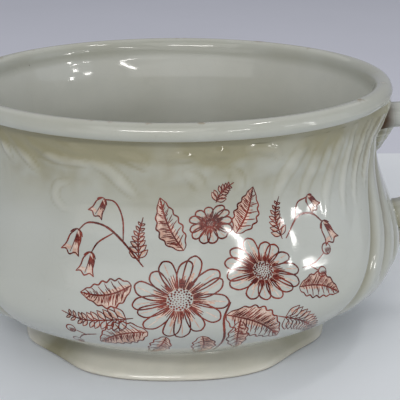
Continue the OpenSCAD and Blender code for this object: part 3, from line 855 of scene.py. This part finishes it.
def bell(top, angle, long):
    def spot(x, y):
        return turned_about((x * long, y * long), top, angle)

    for s in (-1, 1):
        stroke([spot(s * x, y) for x, y in bell_edge], outline_width)
    stroke([spot(*point) for point in bell_mouth], 0.65)
    stroke([spot(0, -0.05), spot(0.02, -0.5), spot(0, -0.95)], 0.45)
    wash([spot(*point) for point in bell_middle], [spot(*point) for point in bell_edge])
    for hatch in range(7):
        x = 0.06 + 0.045 * hatch
        stroke([spot(x * 0.7, -0.1 - 0.02 * hatch), spot(x, -0.5 - 0.05 * (hatch % 3))], hatch_width)
        stroke([spot(-x * 0.8, -0.7), spot(-x * 1.1, -0.9)], hatch_width, tone_strokes)
    for s in (-1, 1):
        stroke([spot(0, 0.08), spot(s * 0.2, -0.02), spot(s * 0.34, -0.18)], 0.8)


def fern(points, leaflets, long):
    path = smooth_path([(x, y, 0) for x, y in points], 0.8)
    stroke([point.xy for point, _ in path], 0.75)
    for leaflet in range(leaflets):
        place = 0.12 + 0.86 * leaflet / leaflets
        index = int(place * (len(path) - 2))
        here, there = path[index][0].xy, path[index + 1][0].xy
        heading = math.atan2(there.y - here.y, there.x - here.x)
        reach = long * (1 - 0.72 * place)
        for s in (-1, 1):
            angle = heading + s * 0.95
            tip = here + Vector((math.cos(angle), math.sin(angle))) * reach
            mid = (here + tip) / 2
            off = Vector((-math.sin(angle), math.cos(angle))) * reach * 0.2
            stroke([here, mid + off, tip], 0.55)
            stroke([here, mid - off, tip], 0.55)
            wash([here, mid + off, tip], [here, mid - off * 0.2, tip])


def berry(centre, berry_radius):
    def spot(x, y):
        return centre[0] + x * berry_radius, centre[1] + y * berry_radius

    turns = [number * math.pi / 6 for number in range(13)]
    stroke([spot(math.cos(angle), math.sin(angle)) for angle in turns], 0.65)
    for hatch in range(6):
        x = -0.3 + 0.22 * hatch
        drop = 0.85 * math.sqrt(max(0.05, 1 - x * x))
        stroke([spot(x, -drop), spot(x, drop * 0.2)], 0.4)
    line_dots.append((spot(0, -0.9), 0.5))


# The spray laid out flat: along the wall from the middle of the front, and up from the ground
aster((2, 60), 21, 15, 0.86, 0.3)
aster((40, 70), 18, 14, 0.78, -0.35)
aster((17, 92), 11.5, 12, 0.72, 0.15)
leaf((22, 52), (50, 34), 7.6, 3.0, 8)
leaf((-12, 44), (-36, 34), 6.8, -2.5, 7)
leaf((-19, 66), (-42, 61), 6.0, 2.5, 6)
leaf((12, 41), (12, 22), 5.4, 1.5, 5)
leaf((57, 60), (80, 52), 5.6, 2.2, 6)
leaf((29, 87), (39, 107), 5.8, -2.0, 6)
leaf((4, 81), (-7, 104), 5.6, 1.8, 6)
leaf((28, 48), (32, 27), 4.6, -1.5, 5)
leaf((-4, 41), (-14, 25), 4.6, 1.2, 5)
stroke([(20, 26), (22, 38), (21, 50), (24, 58)], 1.1)
stroke([(-14, 74), (-24, 84), (-33, 90), (-42, 91), (-47, 87)], 0.95)
stroke([(-24, 84), (-25, 94), (-29, 101), (-35, 102)], 0.8)
stroke([(-29, 87.5), (-36, 83), (-39, 78)], 0.75)
bell((-47, 87), -0.25, 10)
bell((-35, 102), -0.5, 8.5)
bell((-39, 78), -0.2, 9)
stroke([(54, 82), (63, 90), (72, 90), (78, 85)], 0.95)
stroke([(61, 88.6), (64, 96), (71, 98)], 0.75)
bell((78, 85), 0.3, 9.5)
bell((71, 98), 0.6, 8.0)
fern([(46, 48), (58, 43), (68, 36), (76, 28)], 11, 9.5)
fern([(-18, 51), (-30, 49), (-41, 48), (-51, 51)], 10, 8.5)
fern([(20, 101), (23, 106), (29, 110)], 6, 5.5)
fern([(52, 82), (50, 92), (53, 101)], 7, 6.0)
fern([(-16, 76), (-17, 86), (-15, 95)], 7, 6.0)
stroke([(60, 68), (68, 69), (74, 72)], 0.7)
berry((76, 73.5), 2.5)
stroke([(64, 68.5), (69, 65)], 0.6)
berry((71, 64), 2.3)
stroke([(-36, 40), (-43, 38), (-47, 34)], 0.7)
berry((-48.5, 32.5), 2.4)
stroke([(-41, 38.5), (-46, 41)], 0.6)
berry((-48, 41.6), 2.2)


def ink_mesh(name, strokes, dots, washes):
    points, faces = [], []
    for first_edge, second_edge in washes:
        first = len(points)
        for low, high in zip(first_edge, second_edge):
            points += [low.lerp(high, part / 5).to_3d() * mm for part in range(6)]
        for row_number in range(len(first_edge) - 1):
            for part in range(5):
                corner = first + row_number * 6 + part
                faces.append((corner, corner + 1, corner + 7, corner + 6))
    for path, width in strokes:
        dense = smooth_path([(point.x, point.y, 0) for point in path], 0.8)
        for number, (point, along) in enumerate(dense):
            before = dense[max(0, number - 1)][0]
            after = dense[min(len(dense) - 1, number + 1)][0]
            heading = (after - before).normalized()
            half = 0.52 * width * (0.45 + 0.55 * math.sin(math.pi * along) ** 0.5)
            half *= draw.uniform(0.88, 1.12)
            square = Vector((-heading.y, heading.x, 0)) * half
            points += [(point - square) * mm, (point + square) * mm]
            if number:
                last = len(points)
                faces.append((last - 4, last - 2, last - 1, last - 3))
    for centre, half in dots:
        first = len(points)
        points += [Vector((centre[0] + half * math.cos(number * math.pi / 4),
                           centre[1] + half * math.sin(number * math.pi / 4), 0)) * mm for number in range(8)]
        faces.append(tuple(range(first, first + 8)))
    for number, face in enumerate(faces):
        corners = [points[corner] for corner in face]
        pairs = zip(corners, corners[1:] + corners[:1])
        if sum(here.x * there.y - there.x * here.y for here, there in pairs) < 0:
            faces[number] = face[::-1]
    mesh = bpy.data.meshes.new(name)
    mesh.from_pydata(points, [], faces)
    return mesh


def transfer_ink(name, dark, pale):
    ink = bpy.data.materials.new(name)
    ink.use_nodes = True
    tree = ink.node_tree
    shader = tree.nodes["Principled BSDF"]
    place = made(tree, "ShaderNodeTexCoord", "Object")
    patchy = eased(cloudy(place, 120.0, 3.0) * 0.6 + cloudy(place, 1400.0, 1.0) * 0.4, 0.35, 0.68)
    feed(shader.inputs["Base Color"], blended(patchy, dark, pale))
    feed(shader.inputs["Roughness"], 0.06 + 0.06 * cloudy(place, 90.0, 4.0))
    shader.inputs["IOR"].default_value = 1.5
    return ink


line_ink = transfer_ink("red_brown_line_ink", tint(68, 10, 4), tint(138, 58, 44))
tone_ink = transfer_ink("red_brown_tone_ink", tint(182, 142, 124), tint(214, 194, 180))
line_flat = ink_mesh("line_flat", line_strokes, line_dots, line_washes)
tone_flat = ink_mesh("tone_flat", tone_strokes, [], tone_washes)
line_lift, tone_lift, print_arc = 0.06 * mm, 0.04 * mm, 115 * mm
ray_start, ray_length = 0.2, 0.3
for name, flat, ink, turn_by, lift in (
        ("front_print_lines", line_flat, line_ink, 0.0, line_lift),
        ("front_print_tone", tone_flat, tone_ink, 0.0, tone_lift),
        ("back_print_lines", line_flat, line_ink, 180.0, line_lift),
        ("back_print_tone", tone_flat, tone_ink, 180.0, tone_lift)):
    print_sizes = {"Flat print": flat, "Arc radius": print_arc, "Turn": turn_by, "Lift": lift,
                   "Wall": bowl_wall, "Ink": ink}
    print_form, size = form_tree(name, print_sizes)
    flat_x, flat_y, _ = spread_out(made(print_form, "GeometryNodeInputPosition"))
    print_angle = flat_x / size["Arc radius"] + size["Turn"] * (math.pi / 180)
    out_x, out_y = print_angle.by("SINE"), print_angle.by("COSINE") * -1.0
    wall_mesh = made(print_form, "GeometryNodeObjectInfo", "Geometry", feeds={"Object": size["Wall"]})
    hit = made(print_form, "GeometryNodeRaycast", "Hit Position", feeds={
        "Target Geometry": wall_mesh,
        "Source Position": gathered(out_x * ray_start, out_y * ray_start, flat_y),
        "Ray Direction": gathered(out_x * -1.0, out_y * -1.0, 0.0), "Ray Length": ray_length})
    hit_x, hit_y, hit_z = spread_out(hit)
    laid = made(print_form, "GeometryNodeSetPosition", feeds={
        "Geometry": size["Flat print"], "Position": gathered(
            hit_x + out_x * size["Lift"], hit_y + out_y * size["Lift"], hit_z)})
    close_tree(laid, size["Ink"])
    print_piece = grown(name, print_form, print_sizes)
    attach(print_piece, "root")

# Studio: a pale card floor with a greyer card laid behind it, an even room, and soft lamps with a few small
# bright panes that give the streaks on the rim, the inside and the belly.
card_side, card_front, card_join, card_back = 2.0, -1.3, 0.345, 2.0
for name, dark, pale, near_edge, far_edge in (
        ("pale_card", tint(231, 235, 242), tint(236, 240, 246), card_front, card_join),
        ("grey_card", tint(213, 215, 228), tint(217, 219, 232), card_join, card_back)):
    card_mesh = bpy.data.meshes.new(name)
    card_mesh.from_pydata([(-card_side, near_edge, 0), (card_side, near_edge, 0), (card_side, far_edge, 0),
                           (-card_side, far_edge, 0)], [], [(0, 1, 2, 3)])
    card = bpy.data.materials.new(name)
    card.use_nodes = True
    card_shader = card.node_tree.nodes["Principled BSDF"]
    card_shader.inputs["Roughness"].default_value = 0.85
    card_shader.inputs["Specular IOR Level"].default_value = 0.05
    card_place = made(card.node_tree, "ShaderNodeTexCoord", "Object")
    feed(card_shader.inputs["Base Color"], blended(cloudy(card_place, 6.0), dark, pale))
    card_mesh.materials.append(card)
    shown(name, card_mesh)

room = bpy.data.worlds.new("soft_room")
room.use_nodes = True
seen_ray = (made(room.node_tree, "ShaderNodeLightPath", "Is Camera Ray")
            + made(room.node_tree, "ShaderNodeLightPath", "Is Glossy Ray")
            + made(room.node_tree, "ShaderNodeLightPath", "Is Transmission Ray")).between(0.0, 1.0)
room_light, room_look = (0.223, 0.230, 0.240, 1.0), (0.37, 0.38, 0.42, 1.0)
feed(room.node_tree.nodes["Background"].inputs["Color"], blended(seen_ray, room_light, room_look))
bpy.context.scene.world = room

pot_middle = Vector((0, 0, 0.075))
warm_light, cool_light = (1.0, 0.98, 0.95), (0.84, 0.92, 1.0)

# Each lamp: turn and rise in degrees, distance, width and height in metres, roll in degrees, watts and colour
lamps = [
    ("front_softbox", -14, 44, 2.2, 2.07, 1.55, 0, 11.05, warm_light),
    ("low_softbox", -12, 11, 2.4, 4.0, 0.9, 0, 8.8, warm_light),
    ("left_tube", -12, 32, 1.95, 0.90, 0.15, 0, 8.8, warm_light),
    ("right_pane", 30.5, 19.3, 1.3, 0.26, 0.036, 24, 0.85, warm_light),
    ("side_pane_top", 67.5, 16.3, 1.3, 0.09, 0.034, 0, 0.26, warm_light),
    ("side_pane_low", 70.2, 8.5, 1.3, 0.055, 0.12, 0, 0.5, warm_light),
    ("side_pane_left", 58, 13.5, 1.3, 0.10, 0.045, 0, 0.36, warm_light),
    ("right_fill", 76, 14, 1.6, 1.2, 0.9, 0, 1.9, cool_light),
    ("top_pane", 80, 64, 1.3, 0.22, 0.07, 0, 1.1, warm_light),
    ("back_softbox", 180, 62, 1.8, 3.0, 1.8, 0, 10.0, warm_light),
]
for name, turn_by, rise_by, away, wide, tall, roll, watts, light in lamps:
    lamp = bpy.data.lights.new(name, "AREA")
    lamp.shape = "RECTANGLE"
    lamp.size, lamp.size_y = wide, tall
    lamp.energy, lamp.color = watts, light
    stand = bpy.data.objects.new(name, lamp)
    bpy.context.scene.collection.objects.link(stand)
    around, above = math.radians(turn_by), math.radians(rise_by)
    way = Vector((math.sin(around) * math.cos(above), -math.cos(around) * math.cos(above), math.sin(above)))
    stand.location = pot_middle + way * away
    facing = (-way).to_track_quat("-Z", "Y") @ Quaternion((0, 0, 1), math.radians(roll))
    stand.rotation_euler = facing.to_euler()

camera_place, camera_way = (0, -0.60865, 0.26136), Vector((0.0218, 0.9532, -0.3015))
lens = bpy.data.cameras.new("photo_camera")
lens.sensor_width = 36
lens.lens = 105.3
camera = bpy.data.objects.new("photo_camera", lens)
bpy.context.scene.collection.objects.link(camera)
camera.location = camera_place
camera.rotation_euler = camera_way.to_track_quat("-Z", "Y").to_euler()
bpy.context.scene.camera = camera
bpy.context.scene.view_settings.view_transform = "Standard"
